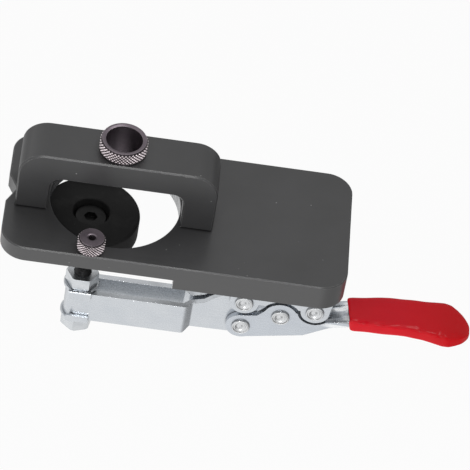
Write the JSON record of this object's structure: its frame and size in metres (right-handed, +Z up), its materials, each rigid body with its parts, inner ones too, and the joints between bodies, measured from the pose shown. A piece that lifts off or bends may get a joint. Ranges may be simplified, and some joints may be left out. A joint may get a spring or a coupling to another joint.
{
  "type": "hinge drilling jig",
  "caption": "Drilling jig for cup hinges: a plate with a bridge, a central guide bush, side pilot bushes and a toggle clamp beneath with a red grip.",
  "frame": {"origin": "the cup hole's axis on the face that lies on the door, which is the plate's thin underside", "axes": "+X from the cup hole toward the handle, +Y to the back, +Z up along the guide bush"},
  "size_m": [0.1652, 0.057, 0.0907],
  "materials": {
    "anodised": "dark grey anodised, fine matte grain",
    "black_steel": "black oxide",
    "bush_steel": "hardened steel, knurled, gunmetal",
    "zinc_sheet": "pressed steel sheet, bright zinc plated",
    "rivet_steel": "spun rivet, zinc plated",
    "zinc_nut": "zinc plated nut",
    "vinyl": "dipped vinyl, glossy red",
    "pad_rubber": "black moulded rubber"
  },
  "bodies": {
    "base": {"base_plate": "anodised", "bridge": "anodised", "bridge_screws": "black_steel", "guide_bush": "bush_steel", "pilot_bush_front": "bush_steel", "pilot_bush_back": "bush_steel", "clamp_bracket_front": "zinc_sheet", "clamp_bracket_back": "zinc_sheet", "bracket_screws": "black_steel", "arm_pivot_rivet": "rivet_steel", "link_pivot_rivet": "rivet_steel"},
    "arm": {"clamp_arm": "zinc_sheet", "arm_joint_bush": "rivet_steel"},
    "link": {"link_plate_front": "zinc_sheet", "link_plate_back": "zinc_sheet"},
    "lever": {"handle": "zinc_sheet", "handle_rivet": "rivet_steel", "arm_joint_rivets": "rivet_steel", "grip": "vinyl"},
    "carriage": {"spindle_nut_upper": "zinc_nut", "spindle_nut_lower": "zinc_nut", "saddle_washer_upper": "zinc_sheet", "saddle_washer_lower": "zinc_sheet"},
    "spindle": {"spindle_screw": "black_steel", "pad": "pad_rubber", "pad_nut": "zinc_nut"}
  },
  "joints": [
    {"name": "arm_pivot", "type": "hinge", "parent": "base", "child": "arm", "pos_m": [0.0491, 0, -0.0296], "axis": [0, -1, 0], "range_deg": [0, 70]},
    {"name": "link_pivot", "type": "hinge", "parent": "base", "child": "link", "pos_m": [0.0738, 0, -0.0298], "axis": [0, -1, 0], "range_deg": [0, 78.6]},
    {"name": "handle_pivot", "type": "hinge", "parent": "link", "child": "lever", "pos_m": [0.0623, 0, -0.0341], "axis": [0, -1, 0], "range_deg": [-138.6, 0]},
    {"name": "spindle_slide", "type": "slide", "parent": "arm", "child": "carriage", "axis": [1, 0, 0], "range_m": [0, 0.011]},
    {"name": "spindle_height", "type": "slide", "parent": "carriage", "child": "spindle", "axis": [0, 0, -1], "range_m": [0, 0.016]}
  ],
  "couplings": [
    {"joint": "link_pivot", "follows": "arm_pivot", "ratio": 1.1214},
    {"joint": "handle_pivot", "follows": "arm_pivot", "ratio": -1.9786}
  ]
}
